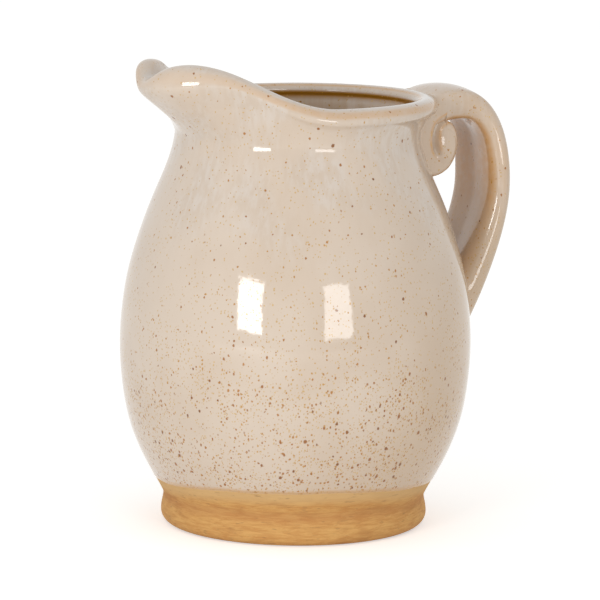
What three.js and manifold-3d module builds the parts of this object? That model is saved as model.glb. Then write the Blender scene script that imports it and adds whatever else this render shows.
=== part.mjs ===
// A glazed stoneware jug, built the way a potter joins it: a floor let into a foot ring, a thrown belly wall,
// a flared collar with a rolled rim, a pouring spout set into the collar, and a grooved strap handle
// with a scroll under its root. Millimetres and degrees. The jug stands on z = 0 with its axis on Z,
// its handle toward +X and its spout toward -X.

import * as THREE from 'three';
import { mergeVertices } from 'three/addons/utils/BufferGeometryUtils.js';
import Module from 'manifold-3d';

// Joints: the slip layer between two luted pieces, and how deep a piece is let in before it is trimmed to fit
const slipGap = 0.3;
const trimDepth = 6;

// Wall
const wallThickness = 4.5;

// Foot ring: its widest radius, the roll of its standing edge, and the waist where the belly stands on it
const footRadius = 57.5;
const footRoll = 4.2;
const waistRadius = 56.8;
const waistHeight = 12.2;

// Floor: a plug that stands level with the foot, under a flange that rests on the foot's rebate
const floorThickness = 8;
const floorPlugRadius = 40;
const floorPlugHeight = 4;
const floorFlange = 8;

// Belly: its widest place, and how far the curves run straight on before they turn
const bellyRadius = 75.2;
const bellyHeight = 78;
const waistFlareAngle = 26;
const waistSweep = 15.2;
const lowerBellySweep = 37.8;
const upperBellySweep = 41.6;

// Neck: its narrowest place, and the lap where the collar sits on the belly wall
const neckRadius = 53.1;
const neckHeight = 167.2;
const neckSweep = 9.7;
const neckTurn = 2;
const lapBelowNeck = 19;
const lapLength = 5;

// Rolled rim: centre line radius, height above the neck, width and height of the roll, the upright band on its
// inner side, the undercut below that band, and how much narrower the rim is from front to back than lengthwise
const rimRadius = 56.2;
const rimAboveNeck = 17.8;
const rimThickness = 9.6;
const rimDepth = 7.8;
const rimBand = 0.5;
const rimUndercut = 1.6;
const rimUnderAngle = 50;
const rimOval = 0.11;
const rimOvalPower = 2.1;

// Spout: how far the lip climbs, reaches out and dips at its tip, the angles over which it does so,
// and how far it lifts the neck line below it
const spoutRise = 17.2;
const spoutReach = 13.3;
const spoutDip = 6.5;
const spoutNeckLift = 3.2;
const spoutSpread = 82;
const spoutCrown = 13;
const spoutBeakAngle = 24;
const spoutDipAngle = 6.5;
const spoutInnerAngle = 140;
const spoutSeamWidth = 84;
const spoutSeamDepth = 12;

// Handle: strap section, groove in its inner face, and the line it follows
const strapWidth = 34;
const strapThickness = 14;
const strapCrown = 0.8;
const strapEdge = 5.5;
const strapFootWidth = 28;
const grooveWidth = 18;
const grooveDepth = 2.2;
const grooveSlope = 3;
const crestOutFromRim = 8;
const crestAboveRim = 3.2;
const rootDrop = 4.4;
const fingerGap = 23.3;
const bulgeBelowCrest = 41;
const bulgeSweep = 30;
const shoulderRoundness = 0.6;
const handleFootHeight = 82.2;
const footSweep = 16;
const footLeanAngle = 38;

// Scroll: eye of the volute from the rim's outer edge and from the strap's underside, half widths of its turn
const eyeOutFromRim = 3;
const eyeBelowStrap = 8.8;
const scrollNeckSide = 11.4;
const scrollOuterSide = 5.4;
const scrollEyeHalfWidth = 3.2;
const scrollBand = 5.3;
const scrollStretch = 1.75;
const scrollInset = 1;
const eyeEndAngle = 590;
const grooveEndAngle = 228;
const grooveTopAngle = 112;

// Facets round the turned pieces, angle steps round the collar, and steps along the curves
const turnFacets = 54;
const footFacets = 48;
const spoutStep = 4.5;
const rimStep = 7.5;
const wallSteps = 6;
const neckSteps = 3;
const flareSteps = 4;
const rollSteps = 8;
const footRollSteps = 5;
const trimSteps = 10;
const edgeSteps = 3;
const strapSteps = [6, 10, 10];
const scrollSteps = 40;
const scrollGrooveSteps = 9;
const seamSteps = 16;

const glaze = { color: '#dcccbd', roughness: 0.22, metalness: 0 };
const handleGlaze = { color: '#cdb9a3', roughness: 0.24, metalness: 0 };
const bareClay = { color: '#c48c52', roughness: 0.85, metalness: 0 };

const wasm = await Module();
wasm.setup();

const rimHeight = neckHeight + rimAboveNeck;
const rimRoll = rimThickness / 2;
const rimRise = rimDepth / 2;
const rimEdge = rimRadius + rimRoll;
const seamHeight = neckHeight - lapBelowNeck;
const radians = THREE.MathUtils.degToRad;
const point = (r, z) => new THREE.Vector2(r, z);

// Outer face of the belly wall, from the waist to the widest place and on to the neck
const lowerBelly = new THREE.CubicBezierCurve(
  point(waistRadius, waistHeight + slipGap),
  point(
    waistRadius + waistSweep * Math.sin(radians(waistFlareAngle)),
    waistHeight + slipGap + waistSweep * Math.cos(radians(waistFlareAngle)),
  ),
  point(bellyRadius, bellyHeight - lowerBellySweep),
  point(bellyRadius, bellyHeight),
);
const upperBelly = new THREE.CubicBezierCurve(
  point(bellyRadius, bellyHeight),
  point(bellyRadius, bellyHeight + upperBellySweep),
  point(neckRadius, neckHeight - neckSweep),
  point(neckRadius, neckHeight),
);

// The place along a rising curve where it reaches a height
function placeAtHeight(curve, height) {
  let low = 0;
  let high = 1;
  for (let i = 0; i < 40; i += 1) {
    const middle = (low + high) / 2;
    if (curve.getPoint(middle).y < height) {
      low = middle;
    } else {
      high = middle;
    }
  }
  return (low + high) / 2;
}

// Radius of the belly wall's outer face at a height
function wallRadius(height) {
  const curve = height < bellyHeight ? lowerBelly : upperBelly;
  return curve.getPoint(placeAtHeight(curve, height)).x;
}

// Point at a depth under the face that a rising curve draws
function under(curve, place, depth) {
  const at = curve.getPoint(place);
  const along = curve.getTangent(place);
  return point(at.x - depth * along.y, at.y + depth * along.x);
}

// Points at one depth along a stretch of a curve
function stretch(curve, from, to, depth, steps) {
  const place = (i) => from + ((to - from) * i) / steps;
  return Array.from({ length: steps + 1 }, (_, i) => under(curve, place(i), depth));
}

// Part of a circle, or of an oval that is wider or taller
function arc(centre, across, fromAngle, toAngle, steps, upward = across) {
  return Array.from({ length: steps + 1 }, (_, i) => {
    const angle = radians(fromAngle + ((toAngle - fromAngle) * i) / steps);
    return point(centre.x + across * Math.cos(angle), centre.y + upward * Math.sin(angle));
  });
}

// A ring turned on Z from a closed outline, or a disc from an outline that starts and ends on the axis
function turned(outline, facets) {
  const onAxis = outline[0].x === 0;
  const profile = onAxis ? outline : [...outline, outline[0]];
  return new THREE.LatheGeometry(profile, facets).rotateX(Math.PI / 2);
}

// A closed skin over rings that hold the same number of points, joined end to end or capped
function skinned(rings, capFaces) {
  const count = rings[0].length;
  const positions = rings.flat().flatMap((p) => [p.x, p.y, p.z]);
  const faces = [];
  const spans = capFaces ? rings.length - 1 : rings.length;
  for (let i = 0; i < spans; i += 1) {
    const here = i * count;
    const next = ((i + 1) % rings.length) * count;
    for (let j = 0; j < count; j += 1) {
      const k = (j + 1) % count;
      faces.push(here + j, here + k, next + k, here + j, next + k, next + j);
    }
  }
  if (capFaces) {
    const last = (rings.length - 1) * count;
    capFaces.forEach(([a, b, c]) => faces.push(a, c, b, last + a, last + b, last + c));
  }
  const geometry = new THREE.BufferGeometry();
  geometry.setAttribute('position', new THREE.Float32BufferAttribute(positions, 3));
  geometry.setIndex(faces);
  return geometry;
}

// Solids for joining and cutting, and back again
function solid(geometry) {
  const bare = geometry.clone();
  bare.deleteAttribute('normal');
  bare.deleteAttribute('uv');
  const merged = mergeVertices(bare);
  return new wasm.Manifold(
    new wasm.Mesh({
      numProp: 3,
      vertProperties: Float32Array.from(merged.attributes.position.array),
      triVerts: Uint32Array.from(merged.index.array),
    }),
  );
}

function geometryOf(body) {
  const mesh = body.getMesh();
  const geometry = new THREE.BufferGeometry();
  geometry.setAttribute('position', new THREE.BufferAttribute(mesh.vertProperties, 3));
  geometry.setIndex(new THREE.BufferAttribute(mesh.triVerts, 1));
  geometry.computeVertexNormals();
  return geometry;
}

// Floor disc, level with the foot's standing face
function baseSlab() {
  const flangeRadius = floorPlugRadius + floorFlange;
  const outline = [
    point(0, 0),
    point(floorPlugRadius, 0),
    point(floorPlugRadius, floorPlugHeight),
    point(flangeRadius, floorPlugHeight),
    point(flangeRadius, floorThickness),
    point(0, floorThickness),
  ];
  return turned(outline, footFacets);
}

// Flared foot with a rebate for the floor and a cove up to the belly wall
function footRing() {
  const boreRadius = floorPlugRadius + slipGap;
  const rebateRadius = floorPlugRadius + floorFlange + slipGap;
  const seat = floorPlugHeight - slipGap;
  const outline = [
    point(boreRadius, 0),
    ...arc(point(footRadius - footRoll, footRoll), footRoll, -90, 0, footRollSteps),
    point(waistRadius, waistHeight),
    point(waistRadius - wallThickness, waistHeight),
    point(rebateRadius, floorThickness),
    point(rebateRadius, seat),
    point(boreRadius, seat),
  ];
  return turned(outline, footFacets);
}

// Depth of the lap's meeting face, halfway through the wall
const tongueDepth = (wallThickness + slipGap) / 2;
const skirtDepth = (wallThickness - slipGap) / 2;

// Belly shell: stands on the foot and carries a tongue for the collar
function bodyWall() {
  const seam = placeAtHeight(upperBelly, seamHeight);
  const tongueTop = placeAtHeight(upperBelly, seamHeight + lapLength);
  const outline = [
    point(waistRadius - wallThickness, waistHeight + slipGap),
    ...stretch(lowerBelly, 0, 1, 0, wallSteps).slice(0, -1),
    ...stretch(upperBelly, 0, seam, 0, wallSteps),
    under(upperBelly, seam, tongueDepth),
    under(upperBelly, tongueTop, tongueDepth),
    ...stretch(upperBelly, tongueTop, 0, wallThickness, wallSteps),
    ...stretch(lowerBelly, 1, 0, wallThickness, wallSteps).slice(1),
  ];
  return turned(outline, turnFacets);
}

// Climb of the rim, from none at the spread angle to all of it at the crown angle
function spoutShare(angle) {
  const share = (Math.abs(angle) - spoutCrown) / (spoutSpread - spoutCrown);
  return (1 + Math.cos(Math.PI * THREE.MathUtils.clamp(share, 0, 1))) / 2;
}

// Centre of the rolled rim at an angle from the spout's middle
function rimCentre(angle) {
  const reach = spoutReach * Math.exp(-((angle / spoutBeakAngle) ** 2));
  const dip = spoutDip * Math.exp(-((angle / spoutDipAngle) ** 2));
  return point(rimRadius + reach, rimHeight - rimRise + spoutRise * spoutShare(angle) - dip);
}

// Width of the neck and rim from front to back at a height, as a share of their length
const ovalFrom = seamHeight + lapLength + slipGap;
function ovalShare(height) {
  const climb = THREE.MathUtils.clamp((height - ovalFrom) / (rimHeight - ovalFrom), 0, 1);
  return 1 - rimOval * climb ** rimOvalPower;
}

// A point of the neck line's stretch, lifted under the spout
function lifted(p, angle) {
  const climb = THREE.MathUtils.clamp((p.y - ovalFrom) / (neckHeight - ovalFrom), 0, 1);
  return point(p.x, p.y + spoutNeckLift * spoutShare(angle) * climb ** 2);
}

// Outer face from the neck out to the underside of the rolled rim, straight under the spout
function flareCurve(angle) {
  const share = spoutShare(angle);
  const edge = arc(rimCentre(angle), rimRoll, -rimUnderAngle, -rimUnderAngle, 1, rimRise)[0];
  const under = radians(rimUnderAngle);
  const rising = point(rimRoll * Math.sin(under), rimRise * Math.cos(under)).normalize();
  const neck = lifted(point(neckRadius, neckHeight), angle);
  const run = edge.distanceTo(neck);
  const straight = edge.clone().sub(neck).normalize();
  const lead = edge.clone().addScaledVector(rising.lerp(straight, share), -run / 2);
  const turning = neck.clone().addScaledVector(point(0, 1).lerp(straight, share), neckTurn);
  return new THREE.CubicBezierCurve(neck, turning, lead, edge);
}

// Section of the collar at an angle from the spout's middle: up outside, over the rim and down inside
function collarSection(angle) {
  const share = spoutShare(angle);
  const centre = rimCentre(angle);
  const skirt = placeAtHeight(upperBelly, seamHeight + slipGap);
  const ledge = placeAtHeight(upperBelly, seamHeight + lapLength + slipGap);
  const innerAngle = THREE.MathUtils.lerp(180, spoutInnerAngle, share);
  const roll = arc(centre, rimRoll, -rimUnderAngle, innerAngle, rollSteps, rimRise);
  const inner = roll[roll.length - 1];
  const falling = point(-Math.sin(radians(innerAngle)), Math.cos(radians(innerAngle)));
  const bandRim = point(inner.x, inner.y - rimBand);
  const bandSpout = inner.clone().addScaledVector(falling, rimBand);
  const band = bandRim.lerp(bandSpout, share);
  const cutRim = point(band.x + rimUndercut, band.y - rimUndercut / 2);
  const cutSpout = band.clone().addScaledVector(falling, rimUndercut);
  const cut = cutRim.lerp(cutSpout, share);
  const innerNeck = lifted(point(neckRadius - wallThickness, neckHeight), angle);
  const lead = cut.clone().addScaledVector(falling, (share * cut.distanceTo(innerNeck)) / 2);
  const innerFlare = new THREE.CubicBezierCurve(
    cut,
    lead,
    point(innerNeck.x, innerNeck.y + neckTurn),
    innerNeck,
  );
  const neckLine = (from, to, depth) =>
    stretch(upperBelly, from, to, depth, neckSteps).map((p) => lifted(p, angle));
  return [
    ...neckLine(skirt, 1, 0),
    ...flareCurve(angle).getPoints(flareSteps).slice(1, -1),
    ...roll,
    band,
    ...innerFlare.getPoints(flareSteps),
    ...neckLine(1, ledge, wallThickness).slice(1),
    under(upperBelly, ledge, skirtDepth),
    under(upperBelly, skirt, skirtDepth),
  ];
}

// Collar and spout as one ring of sections, close together round the spout
function collarRing() {
  const angles = [];
  for (let angle = 180; angle > -180; angle -= angle > 90 || angle <= -90 ? rimStep : spoutStep) {
    angles.push(angle);
  }
  const rings = angles.map((angle) => {
    const turn = radians(angle + 180);
    const place = (p) =>
      new THREE.Vector3(p.x * Math.cos(turn), p.x * Math.sin(turn) * ovalShare(p.y), p.y);
    return collarSection(angle).map(place);
  });
  return skinned(rings);
}

// Block that the spout is cut with, round below like the notch it sits in
function spoutBlock(grow) {
  const halfWidth = spoutSeamWidth / 2 + grow;
  const depth = spoutSeamDepth + grow;
  const top = rimHeight + spoutRise + trimDepth;
  const length = rimEdge + spoutReach + trimDepth;
  const shape = new THREE.Shape();
  shape.moveTo(halfWidth, top);
  shape.lineTo(-halfWidth, top);
  shape.lineTo(-halfWidth, rimHeight);
  shape.absellipse(0, rimHeight, halfWidth, depth, Math.PI, 2 * Math.PI, false);
  shape.closePath();
  const sweep = { depth: length, bevelEnabled: false, curveSegments: seamSteps };
  const block = new THREE.ExtrudeGeometry(shape, sweep);
  const axes = new THREE.Matrix4().makeBasis(
    new THREE.Vector3(0, 1, 0),
    new THREE.Vector3(0, 0, 1),
    new THREE.Vector3(1, 0, 0),
  );
  return block.applyMatrix4(axes).translate(-length, 0, 0);
}

// The jug's outside round to the rim, one slip layer larger, to trim the handle against
function outsideTrim() {
  const bore = neckRadius / 2;
  const roll = arc(rimCentre(180), rimRoll + slipGap, -rimUnderAngle, 90, rollSteps, rimRise + slipGap);
  const outline = [
    point(bore, waistHeight),
    ...stretch(lowerBelly, 0, 1, -slipGap, trimSteps).slice(0, -1),
    ...stretch(upperBelly, 0, 1, -slipGap, trimSteps),
    ...stretch(flareCurve(180), 0, 1, -slipGap, flareSteps).slice(1, -1),
    ...roll,
    point(bore, rimHeight + slipGap),
  ];
  const outside = turned(outline, turnFacets);
  const places = outside.attributes.position;
  for (let i = 0; i < places.count; i += 1) {
    places.setY(i, places.getY(i) * ovalShare(places.getZ(i)));
  }
  return outside;
}

// Middle line of the strap in the plane of the handle: root in the rim, crest, bulge and foot in the belly
function strapLine() {
  const crest = point(rimEdge + crestOutFromRim, rimHeight + crestAboveRim - strapThickness / 2);
  const root = point(neckRadius - trimDepth / 2, crest.y - rootDrop);
  const bulgeHeight = rimHeight + crestAboveRim - bulgeBelowCrest;
  const bulge = point(wallRadius(bulgeHeight) + fingerGap + strapThickness / 2, bulgeHeight);
  const foot = point(wallRadius(handleFootHeight) - trimDepth, handleFootHeight);
  const across = (bulge.x - crest.x) * shoulderRoundness;
  const down = (crest.y - bulge.y) * shoulderRoundness;
  const rise = (crest.x - root.x) / 2;
  const lean = radians(footLeanAngle);
  const line = new THREE.CurvePath();
  const piece = (from, leave, arrive, to) => line.add(new THREE.CubicBezierCurve(from, leave, arrive, to));
  piece(root, point(root.x + rise, root.y), point(crest.x - rise, crest.y), crest);
  piece(crest, point(crest.x + across, crest.y), point(bulge.x, bulge.y + down), bulge);
  const footLead = point(foot.x + footSweep * Math.sin(lean), foot.y + footSweep * Math.cos(lean));
  piece(bulge, point(bulge.x, bulge.y - bulgeSweep), footLead, foot);
  return line;
}

// Section of the strap, round from the middle of its outer face, with a groove in its inner face
function strapSection(width, grow) {
  const side = width / 2 + grow;
  const outer = strapThickness / 2 + grow;
  const edge = strapEdge + grow;
  const groove = grooveWidth / 2;
  const half = [
    ...arc(point(side - edge, outer - strapCrown - edge), edge, 90, 0, edgeSteps),
    ...arc(point(side - edge, edge - outer), edge, 0, -90, edgeSteps),
    point(groove, -outer),
    point(groove - grooveSlope, grooveDepth - outer),
  ];
  const mirrored = half.map((p) => point(-p.x, p.y));
  return [point(0, outer), ...mirrored, ...half.reverse()];
}

// Strap swept along its line, narrowing over the last stretch to its foot
function strap(grow) {
  const line = strapLine();
  const rings = [];
  line.curves.forEach((curve, part) => {
    for (let i = part === 0 ? 0 : 1; i <= strapSteps[part]; i += 1) {
      const share = i / strapSteps[part];
      const width = part === 2 ? THREE.MathUtils.lerp(strapWidth, strapFootWidth, share) : strapWidth;
      const at = curve.getPoint(share);
      const along = curve.getTangent(share);
      const place = (p) => new THREE.Vector3(at.x - along.y * p.y, p.x, at.y + along.x * p.y);
      rings.push(strapSection(width, grow).map(place));
    }
  });
  return skinned(rings, THREE.ShapeUtils.triangulateShape(strapSection(strapWidth, grow), []));
}

// Volute in the plane of the handle: down the neck, round below, up the outer side and over into the eye,
// then back down the groove between the eye and the neck side
function scroll() {
  const strapUnderside = rimHeight + crestAboveRim - strapThickness;
  const eye = point(rimEdge + eyeOutFromRim, strapUnderside - eyeBelowStrap);
  const turn = (angle, halfWidth) =>
    point(
      eye.x + halfWidth * Math.cos(radians(angle)),
      eye.y + scrollStretch * halfWidth * Math.sin(radians(angle)),
    );
  const grooveSide = scrollNeckSide - scrollBand;
  const top = strapUnderside + trimDepth / 2;
  const outer = new THREE.SplineCurve([
    point(eye.x - scrollNeckSide, top),
    turn(180, scrollNeckSide),
    turn(225, scrollNeckSide),
    turn(270, (scrollNeckSide + scrollOuterSide) / 2),
    turn(315, (scrollNeckSide + 2 * scrollOuterSide) / 3),
    turn(360, scrollOuterSide),
    turn(405, scrollOuterSide),
    turn(450, (scrollOuterSide + scrollEyeHalfWidth) / 2),
    turn(495, scrollEyeHalfWidth),
    turn(540, scrollEyeHalfWidth),
    turn(eyeEndAngle, scrollEyeHalfWidth),
  ]);
  const groove = new THREE.SplineCurve([
    turn(grooveEndAngle, grooveSide),
    turn(180, grooveSide),
    turn(grooveTopAngle, grooveSide),
    point(eye.x, top),
  ]);
  const shape = new THREE.Shape([...outer.getPoints(scrollSteps), ...groove.getPoints(scrollGrooveSteps)]);
  const width = strapWidth - 2 * scrollInset;
  const roll = new THREE.ExtrudeGeometry(shape, { depth: width, bevelEnabled: false });
  const axes = new THREE.Matrix4().makeBasis(
    new THREE.Vector3(1, 0, 0),
    new THREE.Vector3(0, 0, 1),
    new THREE.Vector3(0, -1, 0),
  );
  return roll.applyMatrix4(axes).translate(0, width / 2, 0);
}

const collarSolid = solid(collarRing());
const trim = solid(outsideTrim());
const scrollSolid = solid(scroll()).subtract(trim);
const pieces = [
  ['base_slab', baseSlab(), bareClay],
  ['foot_ring', footRing(), bareClay],
  ['body_wall', bodyWall(), glaze],
  ['neck_collar', geometryOf(collarSolid.subtract(solid(spoutBlock(slipGap)))), glaze],
  ['pouring_spout', geometryOf(collarSolid.intersect(solid(spoutBlock(0)))), glaze],
  ['handle_strap', geometryOf(solid(strap(0)).subtract(trim)), handleGlaze],
  ['handle_scroll', geometryOf(scrollSolid.subtract(solid(strap(slipGap)))), handleGlaze],
];

const jug = new THREE.Group();
for (const [name, geometry, finish] of pieces) {
  const mesh = new THREE.Mesh(geometry, new THREE.MeshStandardMaterial(finish));
  mesh.name = name;
  jug.add(mesh);
}

export default jug;
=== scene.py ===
# A glazed stoneware jug with a bare clay foot, a pulled spout and a scrolled strap handle
import math
from functools import partial

import bpy
import numpy as np
from mathutils import Matrix, Vector


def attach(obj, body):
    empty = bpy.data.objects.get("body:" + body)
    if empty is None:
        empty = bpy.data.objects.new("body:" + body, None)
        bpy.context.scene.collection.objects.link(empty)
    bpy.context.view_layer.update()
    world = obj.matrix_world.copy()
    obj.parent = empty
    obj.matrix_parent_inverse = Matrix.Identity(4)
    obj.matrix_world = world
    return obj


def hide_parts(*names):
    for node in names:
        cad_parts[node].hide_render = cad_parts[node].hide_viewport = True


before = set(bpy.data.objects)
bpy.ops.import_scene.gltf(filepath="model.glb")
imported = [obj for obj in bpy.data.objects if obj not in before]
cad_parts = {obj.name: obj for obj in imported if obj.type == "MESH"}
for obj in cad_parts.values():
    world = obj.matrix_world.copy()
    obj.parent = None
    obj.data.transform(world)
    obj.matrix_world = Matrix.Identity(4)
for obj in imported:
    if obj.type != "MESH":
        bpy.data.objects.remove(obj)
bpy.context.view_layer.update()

MM = 0.001

# Sizes in millimetres and degrees: the solids' own, with a fuller belly and lip and another strap
wall_thickness = 4.5
foot_radius = 57.5
foot_roll = 4.8
foot_swell_low = 3.6
foot_swell_high = 2.6
waist_radius = 56.8
waist_height = 12.35
waist_cove = 0.8
floor_thickness = 8.0
floor_plug_radius = 40.15
floor_plug_height = 3.85
floor_radius = 48.15
floor_chamfer = 0.4
floor_eye = 0.5
floor_bevel_lead = np.array([0.8, 1.6])
floor_bevel_flat = 2.0
belly_radius = 75.6
belly_height = 78.0
waist_flare_angle = 26.0
waist_sweep = 15.2
lower_belly_sweep = 39.4
upper_belly_sweep = 47.2
neck_radius = 53.1
neck_height = 167.2
spout_neck_lift = 3.2
neck_sweep = 14.0
neck_turn = 2.0
seam_height = 148.2
rim_radius = 56.2
rim_height = 185.0
rim_roll = 4.8
rim_roll_rise = 3.9
rim_edge = rim_radius + rim_roll
rim_oval = 0.11
rim_oval_power = 2.1
rim_band = 0.5
rim_undercut = 0.5
rim_under_angle = 50.0
rim_flare_turn = 0.5
rim_inner_angle = 180.0
lip_corner = 0.5
spout_under_angle = 15.0
spout_under_share = (0.05, 0.6)
spout_flare_turn = 0.1
spout_inner_angle = 140.0
spout_rise = 17.6
spout_reach = 12.5
spout_dip = 7.15
spout_dip_near = 10.5
spout_dip_far = 9.0
spout_spread_near = 86.0
spout_spread_far = 90.0
spout_crown_near = 19.6
spout_crown_far = 4.0
spout_beak_angle = 28.0
spout_lead_upright = 0.45
spout_far_fall = 1.8
far_fall_from = (21, 30)
far_fall_until = (40, 75)
spout_half_angle = 55.0
lip_bulge_out = 3.7
lip_bulge_down = 4.8
lip_bulge_angle = 20.0
lip_bulge_spread = 14.0

# Strap handle: thick at its root, thin in the middle, and thicker and wider again at its foot
strap_width = 34.0
strap_thickness = 10.1
strap_root_thickness = 14.2
strap_foot_thickness = 14.0
strap_crown = 0.8
strap_outer_edge = 4.0
strap_inner_corner = 4.8
strap_foot_corner = 7.6
strap_root_width = 33.7
strap_foot_width = 42.9
groove_width = 16.0
groove_depth = 0.6
groove_slope = 5.5
groove_middle_rise = 0.25
groove_corner_gap = 0.5
section_round = 0.9
crest_out_from_rim = 8.8
crest_above_rim = 2.9
root_drop = 4.4
root_inside_neck = 3.0
root_spread = 2.5
root_spread_from = 4.0
root_spread_run = 18.0
root_spread_side = (-2, 5)
bulge_reach = 89.6
bulge_below_crest = 42.2
bulge_sweep = 22.0
shoulder_roundness = 0.65
handle_foot_height = 85.1
foot_inside_belly = 6.0
foot_sweep = 11.2
foot_lean_angle = 34.9
strap_line_round = 2.0

# Where the strap changes, as shares of its run from root to foot
strap_widens = (0.12, 0.5)
strap_thins = (0.14, 0.36)
strap_thickens = (0.52, 0.86)
strap_rounds = (0.5, 0.8)

# How far a joined piece runs into the wall that carries it, and the glaze fillet at the join
join_depth = 1.2
fillet_size = 1.0
fillet_fade = 1.4
clear_of_wall = -5.0

# Glaze coat, and the wavy line where it ends: each wave has a height, a count round and a phase
glaze_thickness = 0.3
glaze_edge = (-0.1, 0.9)
glaze_lip = 0.08
glaze_lip_place = (1.0, 0.8)
glaze_line_height = 19.3
glaze_line_tilt = 4.6
glaze_line_high_bearing = -115.0
glaze_line_waves = ((0.35, 3, 1.0), (0.22, 7, 0.4), (0.12, 17, 0.0))
fully_glazed = 6.0
fully_bare = -12.0
well_inside = 5.0

# Marks of the hand on the turning clay: each wave has a size, a count round, a climb and a phase
slow_waves = ((0.13, 2, 38.0, 0.0), (0.09, 3, -27.0, 2.0))
quick_waves = ((0.05, 2, 5.1, 0.0), (0.04, 9, 11.0, 0.0))
hand_starts = (14, 40)
cove_shading = (-1, 5)

# Glaze round the rolled rim, by degrees from its outermost place, and how much at rim and spout
outer_thin_from = (-8, 16)
outer_thin_until = (36, 58)
outer_thin_rim, outer_thin_spout = 0.62, 0.2
inner_thin_place = (124, 10)
inner_thin_rim, inner_thin_spout = 0.95, 0.19
pool_place = (84, 24)
pool_rim, pool_spout = 1.0, 0.3
channel_half_angle = 6
channel_pool_from = (40, 80)
# The brown line under the roll is iron break and also painted shade in the undercut
iron_shade_from = (156, 180)
iron_shade_reach = (0.4, 4.2)
inside_from = (0.15, 0.6)
inside_spout_shift = 0.4

# Rows and columns of the meshes, and points on the curves that they follow
turn_columns = 288
floor_columns = 144
flare_rows = 22
roll_rows = 30
lip_rows = 46
lip_crowding = 1.4
neck_rows = 20
inner_rows = 70
strap_columns = 96
strap_rows = 150
scroll_columns = 192
scroll_rings = 40
foot_roll_rows = 14
foot_swell_rows = 18
floor_bevel_rows = 10
notch_above_neck = 6
notch_short_of_neck = 9
crown_points = 9
edge_points = 9
corner_points = 15
span_points = 30
belly_points = 900
flare_points = 200
lip_points = 120
fall_points = 400
crest_points = 200
bow_points = 300
strap_points = 900

# Edges sharper than this many degrees stay crisp
turned_crease = 50
strap_crease = 60
scroll_crease = 75


def cubic(a, b, c, d, count):
    """Points along a Bezier curve."""
    t = np.linspace(0, 1, count)[:, None]
    a, b, c, d = (np.array(p, float) for p in (a, b, c, d))
    return (1 - t) ** 3 * a + 3 * (1 - t) ** 2 * t * b + 3 * (1 - t) * t**2 * c + t**3 * d


def even(points, count, closed=False):
    """The same line drawn with evenly spaced points."""
    points = np.asarray(points, float)
    if closed:
        points = np.vstack([points, points[:1]])
    run = np.concatenate([[0], np.cumsum(np.linalg.norm(np.diff(points, axis=0), axis=1))])
    at = np.linspace(0, run[-1], count + 1)[:-1] if closed else np.linspace(0, run[-1], count)
    return np.column_stack([np.interp(at, run, points[:, k]) for k in range(points.shape[1])])


def softened(points, reach, closed=False):
    """The same line with its corners rounded over a reach in millimetres, and its ends kept."""
    steps = 6
    half = 3 * steps
    fewest = 24
    points = np.asarray(points, float)
    length = np.linalg.norm(np.diff(points, axis=0), axis=1).sum()
    fine = even(points, max(int(length / (reach / steps)), fewest), closed)
    weights = np.exp(-0.5 * (np.arange(-half, half + 1) / steps) ** 2)
    weights /= weights.sum()
    if closed:
        before, after = fine[-half:], fine[:half]
    else:
        before = 2 * fine[0] - fine[half:0:-1]
        after = 2 * fine[-1] - fine[-2 : -half - 2 : -1]
    padded = np.vstack([before, fine, after])
    return np.column_stack([np.convolve(line, weights, "valid") for line in padded.T])


def ramp(x, low, high):
    """0 below low, 1 above high, and a soft climb between."""
    t = np.clip((np.asarray(x, float) - low) / (high - low), 0, 1)
    return t * t * (3 - 2 * t)


def bell(x, middle, width):
    """1 at the middle, falling away on both sides."""
    return np.exp(-(((np.asarray(x, float) - middle) / width) ** 2))


def blend(first, second, share):
    """The first value, the second, or a mixture of both."""
    return first + (second - first) * share


def unit(arrows):
    """The same directions with a length of one."""
    return arrows / np.linalg.norm(arrows, axis=-1, keepdims=True)


def circle(turn):
    """Places on a circle with a radius of one."""
    return np.column_stack([np.cos(turn), np.sin(turn)])


def belly_outline():
    """Outer face of the belly from the waist to the neck, as radius and height."""
    lean = math.radians(waist_flare_angle)
    start = np.array([waist_radius, waist_height])
    lead = start + waist_sweep * np.array([math.sin(lean), math.cos(lean)])
    wide = np.array([belly_radius, belly_height])
    low = cubic(start, lead, wide - [0, lower_belly_sweep], wide, belly_points)
    neck = np.array([neck_radius, neck_height])
    high = cubic(wide, wide + [0, upper_belly_sweep], neck - [0, neck_sweep], neck, belly_points)
    line = np.vstack([low, high[1:]])
    # A small cove where the belly leaves the foot
    rise = line[:, 1] - waist_height
    soft = waist_height + np.sqrt(rise**2 + waist_cove**2) - waist_cove
    line[:, 0] = np.interp(soft, line[:, 1], line[:, 0])
    return line


belly_line = belly_outline()


def belly_radius_at(height):
    return np.interp(height, belly_line[:, 1], belly_line[:, 0])


def spout_share(angle):
    """How far the rim is pulled up into the spout, with a wider crown on the near side."""
    near = angle > 0
    crown = spout_crown_near if near else spout_crown_far
    spread = spout_spread_near if near else spout_spread_far
    share = np.clip((abs(angle) - crown) / (spread - crown), 0, 1)
    return (1 + math.cos(math.pi * share)) / 2


def rim_crest(angle):
    """Top of the rolled rim at an angle from the spout's middle."""
    reach = spout_reach * bell(angle, 0, spout_beak_angle)
    dip_spread = spout_dip_near if angle > 0 else spout_dip_far
    lift = spout_rise * spout_share(angle) - spout_dip * bell(angle, 0, dip_spread)
    lift -= spout_far_fall * ramp(-angle, *far_fall_from) * (1 - ramp(-angle, *far_fall_until))
    return np.array([rim_radius + reach, rim_height + lift])


def neck_lift(angle, heights):
    """The neck line climbs a little under the spout, from nothing at the seam."""
    climb = np.clip((heights - seam_height) / (neck_height - seam_height), 0, 1)
    return spout_neck_lift * spout_share(angle) * climb**2


def lip_size(angle):
    """Half the width and height of the roll's outer side, which bulges beside the spout."""
    bulge = bell(angle, lip_bulge_angle, lip_bulge_spread)
    return np.array([rim_roll + lip_bulge_out * bulge, rim_roll_rise + lip_bulge_down * bulge])


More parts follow.
